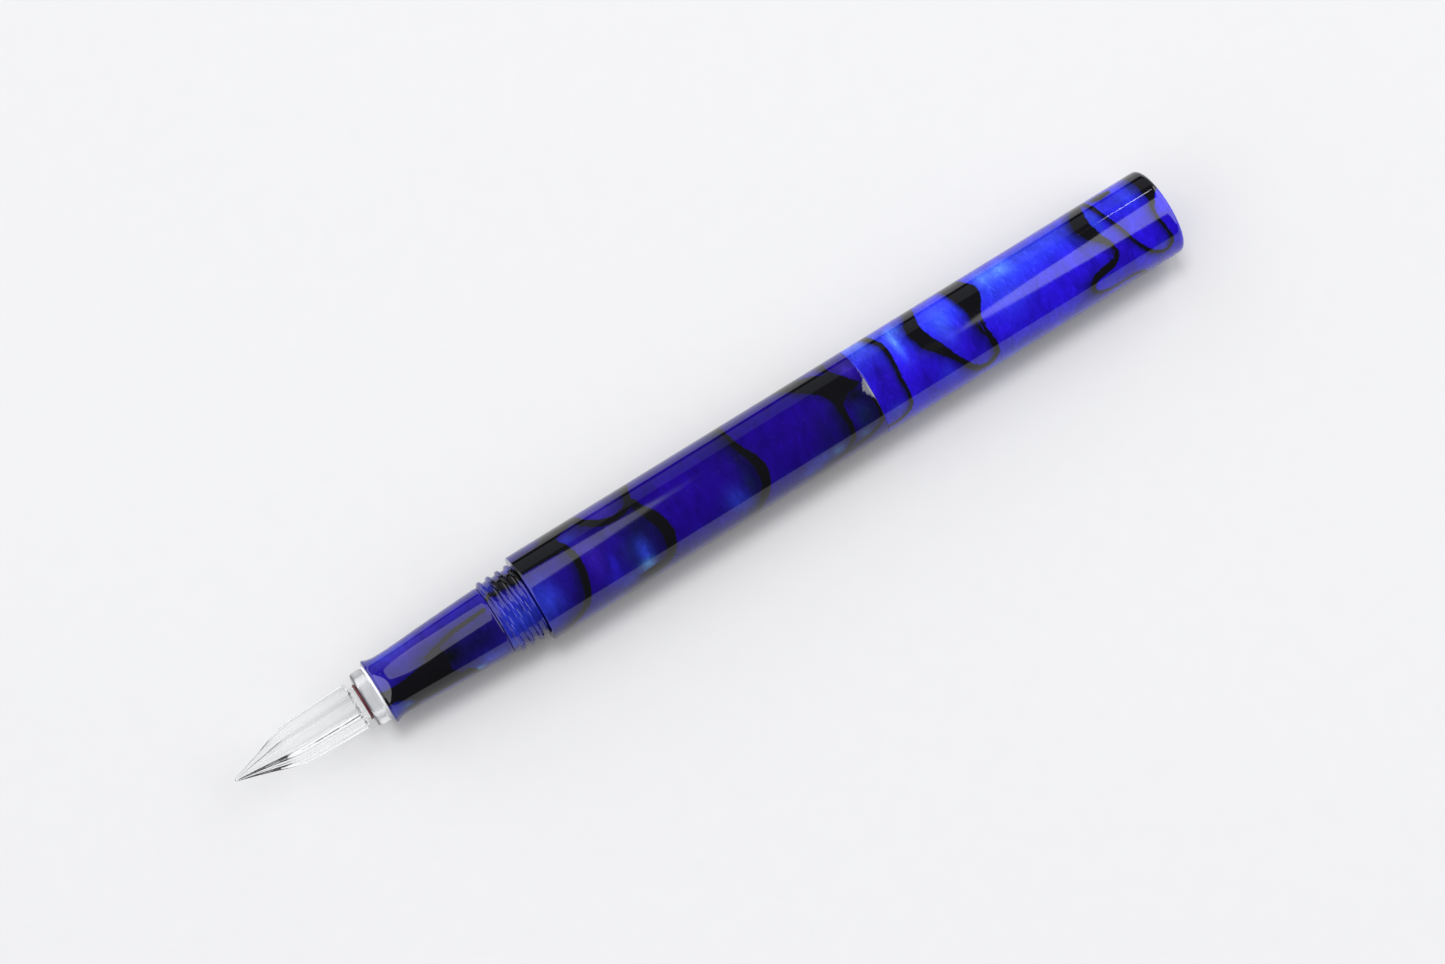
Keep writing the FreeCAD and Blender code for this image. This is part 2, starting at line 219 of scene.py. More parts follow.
def ring_faces(first, second, steps):
    """Faces between two rings of vertices, each given by its first vertex."""
    faces = []
    for j in range(steps):
        k = (j + 1) % steps
        faces.append((first + j, first + k, second + k, second + j))
    return faces


def lathe(name, corners, body, replaces, steps, flute=None):
    """Mesh turned round the axis, from an outline that is closed or that ends on the axis at both ends."""
    on_axis = corners[0]["at"][1] == 0
    rows = rows_of(corners, closed=not on_axis)
    xs = np.array([row[0] for row in rows])
    rs = np.array([row[1] for row in rows])
    angles = np.arange(steps) * 360.0 / steps
    radius = np.repeat(rs[:, None], steps, axis=1)
    for i, row in enumerate(rows):
        if row[2]:
            radius[i] += thread_height(row[2], row[0], angles)
    if flute:
        radius = flute(xs, radius, angles)
    turn = np.radians(angles)
    x_grid = np.repeat(xs[:, None], steps, axis=1)
    grid = np.stack([x_grid, radius * np.cos(turn), AXIS_Z + radius * np.sin(turn)], axis=-1)
    count = len(rows)
    faces = []
    if on_axis:
        places = np.concatenate([[[xs[0], 0, AXIS_Z]], grid[1:-1].reshape(-1, 3), [[xs[-1], 0, AXIS_Z]]])
        last = len(places) - 1
        last_ring = last - steps
        for j in range(steps):
            k = (j + 1) % steps
            faces.append((0, 1 + k, 1 + j))
            faces.append((last, last_ring + j, last_ring + k))
        for first in range(1, last_ring, steps):
            faces += ring_faces(first, first + steps, steps)
    else:
        places = grid.reshape(-1, 3)
        for i in range(count):
            faces += ring_faces(i * steps, (i + 1) % count * steps, steps)
    mesh = bpy.data.meshes.new(name)
    mesh.from_pydata((places * MM).tolist(), [], faces)
    mesh.validate()
    mesh.shade_smooth()
    mesh.set_sharp_from_angle(angle=SHARP_TURN)
    piece = bpy.data.objects.new(name, mesh)
    bpy.context.scene.collection.objects.link(piece)
    outward_faces(piece)
    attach(piece, body)
    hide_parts(replaces)
    return piece


def outward_faces(piece):
    """Turns the faces round if the mesh is inside out, by the sign of its volume."""
    mesh = piece.data
    mesh.calc_loop_triangles()
    co = np.zeros(len(mesh.vertices) * 3)
    mesh.vertices.foreach_get("co", co)
    co = co.reshape(-1, 3)
    corners = np.zeros(len(mesh.loop_triangles) * 3, int)
    mesh.loop_triangles.foreach_get("vertices", corners)
    a, b, c = (co[corners.reshape(-1, 3)[:, k]] for k in range(3))
    if np.einsum("ij,ij->i", a, np.cross(b, c)).sum() < 0:
        mesh.flip_normals()


def pen_places(piece):
    """Each vertex's place along the pen in millimetres and angle round it in degrees."""
    co = np.zeros(len(piece.data.vertices) * 3)
    piece.data.vertices.foreach_get("co", co)
    co = co.reshape(-1, 3) / MM
    return co[:, 0], np.degrees(np.arctan2(co[:, 2] - AXIS_Z, co[:, 1])) % 360


# ---------------------------------------------------------------- the pieces' shapes

def smooth_curve(known_x, known_r, slopes, xs):
    """Radius at each place of xs, on a smooth curve through known points with known slopes."""
    span = np.clip(np.searchsorted(known_x, xs, side="right") - 1, 0, len(known_x) - 2)
    width = known_x[span + 1] - known_x[span]
    t = (xs - known_x[span]) / width
    return ((2 * t ** 3 - 3 * t ** 2 + 1) * known_r[span] + (t ** 3 - 2 * t ** 2 + t) * width * slopes[span]
            + (3 * t ** 2 - 2 * t ** 3) * known_r[span + 1] + (t ** 3 - t ** 2) * width * slopes[span + 1])


def barrel_shell():
    """Barrel with its front thread, its tail tenon for the posted cap and its bored inside."""
    core = CAP_THREAD["core"]
    front_start = SHOULDER_X + FRONT_BEVEL
    neck_end = JOIN_X + TAIL_NECK_LENGTH
    rear_start = neck_end + TAIL_NECK_TAPER
    thread_end = neck_end + CAP_THREAD_LENGTH
    pocket_end = SHOULDER_X + RING_POCKET["depth"]
    socket_end = SHOULDER_X + SECTION_SOCKET["depth"]
    bore_end = JOIN_X - BARREL_BORE_WALL
    front = threaded(CAP_THREAD, first=SHOULDER_X + FIRST_RIDGE, start=front_start + RIDGE_MARGIN,
                     end=STEP_X - RIDGE_MARGIN)
    rear = threaded(CAP_THREAD, first=neck_end + FIRST_RIDGE, start=rear_start + RIDGE_MARGIN,
                    end=thread_end - RIDGE_MARGIN)
    socket = threaded(SECTION_THREAD, first=SHOULDER_X + TENON_NECK["length"],
                      start=pocket_end - GROOVE_MARGIN, end=socket_end - GROOVE_MARGIN, inner=True)
    tail = [corner(NOSE_END_X, 0, step=3), corner(NOSE_END_X, TAIL_NOSE_RADIUS, rounding=0.6, step=0.8),
            corner(thread_end + TAIL_NOSE_TAPER, TAIL_NOSE_RADIUS),
            corner(thread_end, core, step=0.14, run=rear),
            corner(rear_start, core), corner(neck_end, TAIL_NECK_RADIUS),
            corner(JOIN_X, TAIL_NECK_RADIUS, step=0.4)]
    outside = [corner(JOIN_X, BARREL_RADIUS, rounding=0.06, step=0.21),
               corner(STEP_X, BARREL_RADIUS, rounding=0.1, step=0.3),
               corner(STEP_X, core, step=0.12, run=front), corner(front_start, core, rounding=0.05),
               corner(SHOULDER_X, core - FRONT_BEVEL)]
    inside = [corner(SHOULDER_X, RING_POCKET["radius"]), corner(pocket_end, RING_POCKET["radius"]),
              corner(pocket_end, SECTION_SOCKET["radius"], step=0.12, run=socket),
              corner(socket_end, SECTION_SOCKET["radius"]),
              corner(socket_end, BARREL_BORE_RADIUS, step=2.0),
              corner(bore_end, BARREL_BORE_RADIUS, step=2.0), corner(bore_end + DRILL_POINT, 0)]
    return lathe("barrel_shell", tail + outside + inside, "barrel", "barrel", steps=200)


def cap_shell():
    """Cap with a closed end, an inner thread and a bore for the liner."""
    mouth_end = JOIN_X + CAP_MOUTH["depth"]
    socket_end = JOIN_X + CAP_SOCKET["depth"]
    bore_end = END_X - CAP_END_WALL
    socket = threaded(CAP_THREAD, first=JOIN_X + TAIL_NECK_LENGTH + FIRST_RIDGE,
                      start=mouth_end - GROOVE_MARGIN, end=socket_end - GROOVE_MARGIN, inner=True)
    outside = [corner(END_X, 0, step=1.2), corner(END_X, BARREL_RADIUS, rounding=0.8, step=0.21),
               corner(JOIN_X, BARREL_RADIUS, rounding=0.06, step=0.2)]
    inside = [corner(JOIN_X, CAP_MOUTH["radius"], rounding=0.05), corner(mouth_end, CAP_MOUTH["radius"]),
              corner(mouth_end, CAP_SOCKET["radius"], step=0.14, run=socket),
              corner(socket_end, CAP_SOCKET["radius"]), corner(socket_end, CAP_BORE_RADIUS, step=1.2),
              corner(bore_end, CAP_BORE_RADIUS, rounding=0.2, step=1.2), corner(bore_end, 0)]
    return lathe("cap_shell", outside + inside, "cap", "cap", steps=208)


def grip_outline():
    """Smooth outline of the grip, from its flared lip over the waist to the shoulder."""
    known_x = np.array([LIP_X + depth for depth, _, _ in GRIP_OUTLINE] + [SHOULDER_X])
    known_r = np.array([radius for _, radius, _ in GRIP_OUTLINE] + [GRIP_REAR_RADIUS])
    slopes = np.array([slope for _, _, slope in GRIP_OUTLINE] + [GRIP_REAR_SLOPE])
    fine = np.arange(known_x[0], LIP_X + LIP_LENGTH, 0.07)
    coarse = np.arange(LIP_X + LIP_LENGTH, SHOULDER_X - 0.5, 0.2)
    xs = np.concatenate([fine, coarse])
    return [corner(x, r) for x, r in zip(xs, smooth_curve(known_x, known_r, slopes, xs))]


def grip_shell():
    """Grip section with a flared lip, a threaded tenon and the bore for the nib unit."""
    core = SECTION_THREAD["core"]
    tenon_x = SHOULDER_X + TENON_NECK["length"]
    bevel_x = TENON_END_X - TENON_BEVEL
    thread_x = FLANGE_X + NIB_SOCKET["start"]
    mouth_end = thread_x - GROOVE_MARGIN
    socket_end = FLANGE_X + NIB_SOCKET["end"]
    tenon = threaded(SECTION_THREAD, first=tenon_x, start=tenon_x + RIDGE_MARGIN,
                     end=bevel_x - RIDGE_MARGIN)
    socket = threaded(NIB_THREAD, first=thread_x, start=mouth_end - GROOVE_MARGIN,
                      end=socket_end - GROOVE_MARGIN, inner=True)
    lip = [corner(LIP_X, NIB_SOCKET["mouth"], rounding=0.05)]
    lip += [corner(LIP_X + depth, radius) for depth, radius in LIP_OUTLINE]
    rear = [corner(SHOULDER_X, GRIP_REAR_RADIUS, rounding=0.35, step=0.4),
            corner(SHOULDER_X, TENON_NECK["radius"]), corner(tenon_x, TENON_NECK["radius"]),
            corner(tenon_x, core, step=0.11, run=tenon), corner(bevel_x, core),
            corner(TENON_END_X, core - TENON_BEVEL)]
    bore = [corner(TENON_END_X, SECTION_BORE_RADIUS, step=1.2), corner(socket_end, SECTION_BORE_RADIUS),
            corner(socket_end, NIB_SOCKET["radius"], step=0.1, run=socket),
            corner(mouth_end, NIB_SOCKET["radius"]), corner(mouth_end, NIB_SOCKET["mouth"])]
    return lathe("grip_shell", lip + grip_outline() + rear + bore, "section", "section",
                 steps=200)


def fluted(xs, radius, angles):
    """Presses the flutes into the nib ahead of its neck."""
    depth = xs - POINT_X
    rise = np.clip((depth - FLUTES_FROM) / FLUTES_RISE, 0, 1)
    fall = np.clip((FLUTES_TO - depth) / FLUTES_FALL, 0, 1)
    share = FLUTE_SHARE * rise * fall
    wave = ((1 - np.cos(np.radians(FLUTES * angles))) / 2) ** FLUTE_ROUNDNESS
    return radius * (1 - share[:, None] * wave[None, :])


def glass_nib():
    """Fluted glass nib with its neck and the stem that the collar holds."""
    depths = np.array([depth for depth, _ in NIB_OUTLINE])
    radii = np.array([radius for _, radius in NIB_OUTLINE])
    fine = np.arange(depths[0], depths[-1], 0.15)
    body = smooth_curve(depths, radii, np.gradient(radii, depths), fine)
    point = [corner(POINT_X + POINT_RADIUS - POINT_RADIUS * math.cos(a), POINT_RADIUS * math.sin(a))
             for a in (0.0, 0.5, 1.0, 1.5)]
    front = [corner(POINT_X + depth, r) for depth, r in zip(fine, body)]
    neck = [corner(POINT_X + depths[-1], radii[-1], step=0.1),
            corner(POINT_X + NECK_START, NECK_RADIUS, rounding=0.1, step=0.3)]
    stem = [corner(FLANGE_X, NECK_RADIUS, step=0.3), corner(FLANGE_X, STEM_RADIUS, step=0.6),
            corner(STEM_END_X, STEM_RADIUS, rounding=0.3, step=0.4), corner(STEM_END_X, 0)]
    return lathe("glass_nib_fine", point + front + neck + stem, "nib_unit", "glass_nib",
                 steps=288, flute=fluted)


def nib_collar():
    """Clear screw-in collar that holds the nib's stem between two rubber rings."""
    core = NIB_THREAD["core"]
    thread_x, thread_end = (FLANGE_X + depth for depth in COLLAR_THREAD)
    bore_end = FLANGE_X + COLLAR_BORE["depth"]
    run = threaded(NIB_THREAD, first=thread_x, start=thread_x + COLLAR_THREAD_MARGIN,
                   end=thread_end - COLLAR_THREAD_MARGIN)
    outside = [corner(COLLAR_END_X, 0, step=0.6),
               corner(COLLAR_END_X, COLLAR_TAIL_RADIUS, rounding=0.3, step=0.5),
               corner(thread_end, COLLAR_TAIL_RADIUS), corner(thread_end, core, step=0.1, run=run),
               corner(thread_x, core, step=0.4), corner(WASHER_X, core, rounding=0.1, step=0.3),
               corner(WASHER_X, FLANGE_RADIUS, rounding=0.3, step=0.3),
               corner(FLANGE_X, FLANGE_RADIUS, rounding=0.5, step=0.3)]
    bore = [corner(FLANGE_X, COLLAR_BORE["radius"], rounding=0.1, step=0.4)]
    for depth in STEM_RING_DEPTHS:
        groove_x = FLANGE_X + depth
        groove_end = groove_x + STEM_RING_WIDTH
        bore += [corner(groove_x, COLLAR_BORE["radius"]), corner(groove_x, RING_GROOVE_RADIUS),
                 corner(groove_end, RING_GROOVE_RADIUS),
                 corner(groove_end, COLLAR_BORE["radius"], step=0.6)]
    bore += [corner(bore_end, COLLAR_BORE["radius"]), corner(bore_end, 0)]
    return lathe("nib_collar_fine", outside + bore, "nib_unit", "nib_collar", steps=180)


# ---------------------------------------------------------------- the cast acrylic's pattern

def linear(r, g, b):
    """Linear colour from 0-255 display values."""
    out = []
    for v in (r, g, b):
        v = v / 255
        out.append(v / 12.92 if v <= 0.04045 else ((v + 0.055) / 1.055) ** 2.4)
    return np.array(out)


INK = linear(9, 9, 12)
NAVY = linear(14, 10, 62)
TEAL = linear(16, 30, 66)
SHADE = linear(12, 10, 46)
DEEP = linear(24, 4, 112)
ROYAL = linear(28, 20, 150)
AZURE = linear(40, 58, 185)
CYAN = linear(72, 128, 192)
VIOLET = linear(46, 28, 142)
CAP_BLUE = linear(34, 14, 192)
CLOUD = linear(84, 128, 250)
BRIGHT = linear(46, 62, 236)
GRIP_GROUND = linear(26, 14, 120)
# Grey of the painted highlight where the rounded edges at the join catch the light
PAINTED_GLINT = linear(118, 118, 128)
TONE = 0.70                    # overall depth of the blues
LEAN = 3.0                     # degrees by which the pattern leans where it turns under the front
LEAN_AT = 155.0
LEAN_SPREAD = 35.0
SHADE_STRENGTH = 0.92          # how much of the shade's colour stands right beside a vein or mass
SHADE_POWER = 1.4              # how sharply that shade ends
VEIN_SHADE_REACH = (0.35, 2.3)     # how far it reaches from a vein: millimetres, and times the half width
MASS_SHADE_REACH = 1.1
VEIN_SHADE_SIDES = (0.35, 0.65)    # its mean strength round a vein, and what the -X side has above that
MASS_SHADE_SIDES = (0.5, 0.5)
LEAST_SHADE = 0.05
FAR = 1e3                      # farther than any vein
EDGE_LIMIT = 3.0               # the stored distance to a vein stops here

# The pattern's outlines and lines run past 0 and 360 degrees where they cross +Y
# Each vein is a line of (place along the pen, angle, half width)
BARREL_VEINS = [
    [(-18.3, -10, .6), (-18.2, 10, .6), (-18.1, 30, .6), (-17.7, 42, .6), (-17.1, 52, .6),
     (-16.2, 60, .6), (-15, 67, .6), (-13.4, 70, .5), (-11.8, 68, .5), (-10.8, 62, .5),
     (-10.35, 52, .5), (-10.1, 42, .5), (-9.8, 30, .5), (-9.6, 15, .5), (-9.5, -20, .6),
     (-9.4, -50, .6), (-10, -80, .7), (-12, -110, .8), (-14.5, -135, .6), (-15, -160, .5),
     (-14, -180, .6), (-12.3, -196, .7)],
    [(-10.2, 62, .5), (-9.9, 75, .6), (-9.1, 90, .8), (-8.4, 105, .85), (-8.2, 120, .85),
     (-8.6, 135, .75), (-9.3, 147, .7), (-10.5, 156, .8), (-12.2, 164, .7)],
    [(-22.6, 45, .5), (-21.8, 60, .5), (-21.2, 70, .5), (-20.8, 85, .5), (-20.9, 100, .5),
     (-21.4, 120, .5), (-21.9, 132, .5), (-22.5, 143, .5), (-23.7, 152, .5), (-25, 161, .5),
     (-26.5, 178, .5), (-26.5, 200, .45), (-25, 230, .4), (-22.5, 262, .45), (-20.6, 292, .5),
     (-19.2, 322, .55), (-18.4, 350, .6)],
    [(5.65, 50, .3), (5.8, 70, .45), (6.3, 85, .55), (6.9, 95, .65), (7.2, 108, .75), (7.2, 120, .75),
     (6.9, 130, .7), (6.3, 140, .7), (5.6, 150, .6), (5, 160, .5), (4.5, 172, .4), (3.5, 190, .4),
     (3, 215, .4), (4, 245, .45), (6, 275, .5), (7.5, 300, .5), (7, 330, .45), (6, 355, .4),
     (5.5, 385, .3), (5.6, 410, .3)],
    [(21.2, 92, .6), (20.8, 100, .5), (20.9, 115, .4), (20.9, 125, .35), (20.8, 137, .4),
     (20.4, 145, .4), (19.6, 152, .4), (18.7, 158, .4)],
    [(25.3, 108, .12), (25.6, 116, .3), (25.6, 125, .3), (25.4, 138, .35), (24.9, 144, .35),
     (24.1, 149, .35), (23, 153, .4), (21.5, 157, .4), (20, 160, .4), (18.5, 161, .4), (17, 165, .5),
     (15.5, 175, .5), (14.5, 195, .5), (15, 220, .45), (17, 250, .4), (18.3, 280, .4), (17.5, 310, .5),
     (16.5, 340, .7), (16.4, 375, .9)],
    [(22.3, 52, .3), (22.2, 40, .3), (22.3, 15, .3), (22.6, -10, .3), (23.2, -40, .3), (24.4, -60, .3),
     (25.8, -80, .3)],
]
# Each mass is a closed outline of (place along the pen, angle)
BARREL_MASSES = [
    [(-30, 43), (-24.2, 41), (-23.3, 34), (-23.1, 15), (-23, -10), (-21, -25), (-18.5, -15),
     (-18.3, 15), (-18.6, 35), (-19.6, 43), (-21.6, 48), (-21.4, 60), (-20.9, 70), (-22.5, 71),
     (-25, 70), (-30, 69)],
    [(-34.2, 60), (-31.5, 60), (-31.4, 68), (-34.2, 68)],
    [(-32, 38), (-30.2, 41), (-28.4, 41), (-28.4, 70), (-30.5, 68), (-32, 60)],
    [(-14, 150), (-12, 147), (-10, 147), (-10, 156), (-12, 160), (-14, 157)],
    [(15, 20), (16, 40), (17.2, 55), (18.4, 66), (19.4, 75), (20.1, 85), (20.4, 95), (20.5, 108),
     (21, 106), (21.6, 97), (22.6, 91), (24, 90), (25.1, 86), (24.1, 76), (23.5, 68), (23, 60),
     (22.4, 50), (21.6, 52), (20.8, 45), (20, 38), (18.8, 30), (18, 15), (17, 0), (15.6, 0)],
]
# Painted highlight: grey patches where the rounded edges at the join with the cap catch the softbox, each a
# closed outline of (place along the pen, angle)
BARREL_PAINTED_GLINTS = [[(25.8, 83), (25.2, 89), (24.75, 97), (25.1, 104), (25.8, 112)]]
CAP_VEINS = [
    [(29.2, -20, .4), (29.5, 15, .45), (29.6, 30, .45), (29.8, 40, .4), (30.2, 50, .4), (30.5, 58, .35),
     (30.6, 70, .3), (30.4, 88, .27), (30.1, 108, .25), (30.15, 128, .25), (30.1, 138, .25),
     (29.9, 145, .25), (29.5, 151, .27), (28.8, 156, .3), (28, 159, .3), (27, 161, .3), (26, 160, .3),
     (24, 156, .3)],
    [(29.2, -20, .4), (28.4, -55, .4), (27.2, -85, .4), (26.6, -120, .35), (27, -150, .35),
     (28, -172, .3)],
    [(36.8, 15, .7), (36.2, 40, .8), (35.5, 55, 1.0), (35.3, 70, 1.05), (35.8, 88, 1.0),
     (36.8, 101, .8), (37.9, 116, .45), (38.9, 130, .42), (39.9, 145, .45), (41, 155, .55),
     (42.3, 158, .6), (43.3, 154, .55), (44, 147, .42), (44.2, 138, .45), (44.05, 128, .45),
     (43.9, 122, .25), (43.3, 112, .2), (43.2, 103, .22), (43.3, 92, .3)],
    [(44.1, 125, .25), (43.95, 112, .2), (43.9, 103, .22), (43.9, 92, .3)],
    [(36.8, 15, .7), (37.5, -10, .6), (38.6, -30, .5), (40.2, -42, .5), (42, -36, .6), (43.2, -18, .9),
     (43.4, 5, 1.2)],
    [(65, 15, .6), (64.3, 33, .8), (63.7, 45, 1.0), (63.3, 55, 1.15), (63.1, 68, 1.15), (63.5, 80, 1.0),
     (64.1, 90, .6), (64.7, 98, .4), (65.2, 106, .3), (65.3, 114, .3), (64.9, 121, .4),
     (63.9, 125.5, .55), (62.5, 127, .6), (61.2, 129.5, .55), (60.5, 134, .45), (60.2, 141, .32),
     (60.5, 149, .3), (61.3, 155, .3), (62.5, 159, .28), (64.7, 159.5, .28), (66.7, 159.5, .28),
     (68, 164, .3), (68.7, 178, .4), (67.7, 200, .5), (65.7, 225, .5), (64.2, 255, .4), (64.7, 290, .4),
     (65.7, 330, .5), (65.3, 360, .6), (65, 375, .6)],
    [(65.7, -30, .4), (65.8, 0, .3), (65.9, 30, .28), (66.2, 52, .25), (66.4, 64, .22), (66.7, 75, .2),
     (67.1, 85, .2), (67.5, 95, .2), (67.8, 104, .2), (68.2, 114, .22), (68.7, 122, .25),
     (69.3, 131, .27), (70, 139, .3), (70.8, 145, .3), (71.7, 149, .3), (72.5, 149, .32),
     (73.1, 144, .42), (73.4, 137, .32), (73.3, 128, .27), (73, 118, .24), (72.7, 108, .2),
     (72.7, 98, .2), (73, 88, .25)],
    [(48, -165, .4), (50, -145, .6), (53, -120, .8), (56, -105, .6), (57.5, -125, .4), (57, -150, .4),
     (54, -168, .5), (50.5, -172, .5), (48, -165, .4)],
    [(33, -110, .5), (35, -140, .6), (37.5, -160, .6), (40, -150, .4), (41, -120, .4), (39.5, -90, .5),
     (36, -85, .5), (33, -110, .5)],
]
CAP_MASSES = [
    [(42.7, 97), (42.8, 85), (42.5, 65), (42.1, 45), (41.8, 15), (42, -5), (44, -8), (44.8, 15),
     (45.3, 40), (46, 55), (46.1, 63), (45.9, 72), (45.4, 80), (44.7, 88), (44.1, 97)],
    [(73, -20), (72.8, 10), (72.8, 40), (72.9, 70), (73, 86), (73.3, 92), (73.8, 84), (74.4, 78),
     (75.4, 70), (75.4, -20)],
    [(67, 28), (68.4, 26), (69.8, 32), (69.6, 40), (68, 42), (67, 38)],
]
GRIP_VEINS = [
    [(-53, 106, .4), (-50, 112, .8), (-47, 112, 1.2), (-44.5, 108, 1.1), (-43.4, 100, .7)],
    [(-45, 92, .3), (-42.5, 85, .4), (-40, 79, .45), (-37, 77, .45), (-35, 76, .35)],
    [(-49.5, 160, .5), (-49.2, 175, .5), (-48, 200, .5), (-45, 225, .6), (-42, 250, .6), (-40, 280, .5),
     (-41, 310, .5), (-44, 335, .6), (-48, 350, .5), (-52, 362, .4)],
    [(-40.8, 148, .5), (-40, 160, .4), (-39.6, 175, .4), (-38, 195, .4), (-35.5, 215, .4),
     (-33.5, 230, .4)],
]
GRIP_MASSES = [
    [(-53.2, 107), (-50, 105), (-48, 102), (-46, 98), (-44, 93), (-42.6, 92), (-42.4, 110),
     (-42.8, 130), (-42, 142), (-41, 150), (-40.4, 158), (-41, 163), (-45, 165), (-49, 163), (-49, 150),
     (-49.5, 142), (-50.5, 135), (-51.5, 128), (-53.2, 124)],
]
# Each wash is (place along the pen, angle, reach along, reach round in degrees, colour, strength)
BARREL_WASHES = [
    (-26.5, 100, 3.5, 60, DEEP, .7), (-27.4, 115, 2.4, 30, AZURE, .55),
    (-26.5, 140, 1.6, 12, ROYAL, .8), (-20.2, 59, 1.3, 9, AZURE, .4), (-18.5, 90, 1.5, 40, VIOLET, .4),
    (-16.8, 116, .6, 12, ROYAL, .9), (-14.2, 40, 2.2, 26, VIOLET, .9),
    (-11.6, 100, 1.8, 22, SHADE, .85), (-13.6, 118, 2.2, 22, TEAL, .6),
    (-12.2, 125, 1.0, 17, AZURE, .9), (-12.6, 142, 1.1, 8, CYAN, 1.0), (-15.5, 148, 1.6, 9, AZURE, .6),
    (-17.5, 135, 1.5, 14, ROYAL, .7), (-6, 110, 1.5, 40, DEEP, .6), (-3, 150, 3, 14, ROYAL, .5),
    (2.3, 132, 1.6, 17, AZURE, .55), (3.7, 145, 1.3, 10, AZURE, .7), (5.0, 120, .8, 16, TEAL, .9),
    (5.2, 90, .7, 16, NAVY, .8), (9.5, 140, 1.4, 14, ROYAL, .5), (11, 100, 4, 40, DEEP, .6),
    (15.5, 145, 1.6, 8, AZURE, .85), (13.5, 154, 1.6, 7, AZURE, .8), (17.3, 120, 1.5, 26, NAVY, .6),
    (18, 147, .9, 7, CYAN, .6), (19.9, 125, .8, 20, NAVY, .9), (23.4, 96, 2.2, 12, INK, 1.0),
    (23.6, 124, 1.6, 16, TEAL, .95), (22.4, 145, .9, 6, CYAN, .4), (24.5, 60, 1.0, 18, VIOLET, .8),
    (20.6, 30, 1.0, 16, VIOLET, .9), (-32.5, 45, 1.2, 14, AZURE, .9), (-29.3, 35, .8, 9, AZURE, .7),
    (-31.5, 100, 3, 30, ROYAL, .5), (-33.5, 150, .7, 10, AZURE, .9), (-20, 200, 4, 30, AZURE, .6),
    (-5, 230, 5, 35, ROYAL, .7), (10, 260, 5, 40, AZURE, .5), (0, 320, 6, 35, VIOLET, .6),
    (-24, 290, 3, 30, CYAN, .4), (20, 230, 3, 30, TEAL, .8), (12, 340, 4, 25, ROYAL, .6),
    (-31.5, 118, 3.2, 34, AZURE, .75), (-30.5, 62, 2.5, 9, INK, .9),
]
CAP_WASHES = [
    (46, 60, 22, 26, BRIGHT, .85), (28, 20, 2.4, 28, CLOUD, .7), (28, 100, 2.2, 50, DEEP, .75),
    (32.2, 60, .5, 22, CLOUD, .8), (33.2, 45, 1.0, 14, CLOUD, .5), (33, 125, 2.0, 26, DEEP, .55),
    (27.8, 143, 1.2, 10, AZURE, .6), (42.4, 60, .6, 24, TEAL, .7), (39, 75, 1.2, 24, CLOUD, .25),
    (41, 120, 2.4, 24, DEEP, .4), (36.5, 135, 1.2, 14, AZURE, .3), (50.4, 53, 1.5, 12, CLOUD, .95),
    (47.6, 50, 1.1, 15, CLOUD, .7), (53.5, 48, 2.0, 12, AZURE, .8), (58, 52, 3.0, 14, AZURE, .6),
    (49, 90, 3, 25, AZURE, .45), (55, 130, 5, 25, CAP_BLUE, .4), (62, 70, 1.2, 22, TEAL, .75),
    (64.9, 66, .8, 22, AZURE, .8), (65.5, 122, 2.2, 22, DEEP, .6), (62.8, 143, 1.4, 9, AZURE, .3),
    (70.6, 110, 1.6, 22, CAP_BLUE, .6), (70.5, 60, 1.5, 20, AZURE, .5), (72.2, 50, .8, 26, TEAL, .8),
    (71.6, 138, .9, 6, AZURE, .3), (46, 200, 5, 30, CLOUD, .5), (60, 220, 4, 30, AZURE, .6),
    (52, 290, 5, 35, CLOUD, .5), (34, 300, 4, 30, AZURE, .7), (70, 270, 3, 40, CLOUD, .4),
    (38, 230, 2, 20, TEAL, .8),
]
GRIP_WASHES = [
    (-47, 50, 6, 24, VIOLET, .85), (-38, 52, 4, 22, ROYAL, .5), (-49, 35, 4, 20, AZURE, .5),
    (-51.5, 148, 1.5, 18, AZURE, .8), (-50.2, 152, .8, 8, CYAN, .6), (-52, 80, 1.2, 26, ROYAL, .6),
    (-37, 112, 4.0, 26, NAVY, .9), (-42.4, 110, 3.6, 30, INK, 1.0), (-46, 148, 2.5, 12, INK, .6),
    (-37, 150, 1.8, 11, AZURE, .85), (-39.2, 160, .8, 6, CYAN, .7), (-45, 200, 3, 25, AZURE, .7),
    (-37, 260, 4, 35, ROYAL, .8), (-48, 290, 3, 35, VIOLET, .7), (-43, 330, 3, 20, AZURE, .5),
]


def vein_edge(x, angle, line):
    """Signed distance to a vein's edge, below 0 inside it, and how far it lies to the +X side (-1 to 1)."""
    edge = np.full(len(x), FAR)
    side = np.zeros(len(x))
    for turn in (-360, 0, 360):
        for (x0, a0, w0), (x1, a1, w1) in zip(line, line[1:]):
            dx, ds = x1 - x0, (a1 - a0) * ARC
            px, ps = x - x0, (angle + turn - a0) * ARC
            t = np.clip((px * dx + ps * ds) / (dx * dx + ds * ds), 0, 1)
            ox, os = t * dx - px, t * ds - ps
            reach = np.hypot(ox, os)
            gap = reach - (w0 + (w1 - w0) * t)
            better = gap < edge
            edge = np.where(better, gap, edge)
            side = np.where(better, ox / np.maximum(reach, 1e-6), side)
    return edge, side


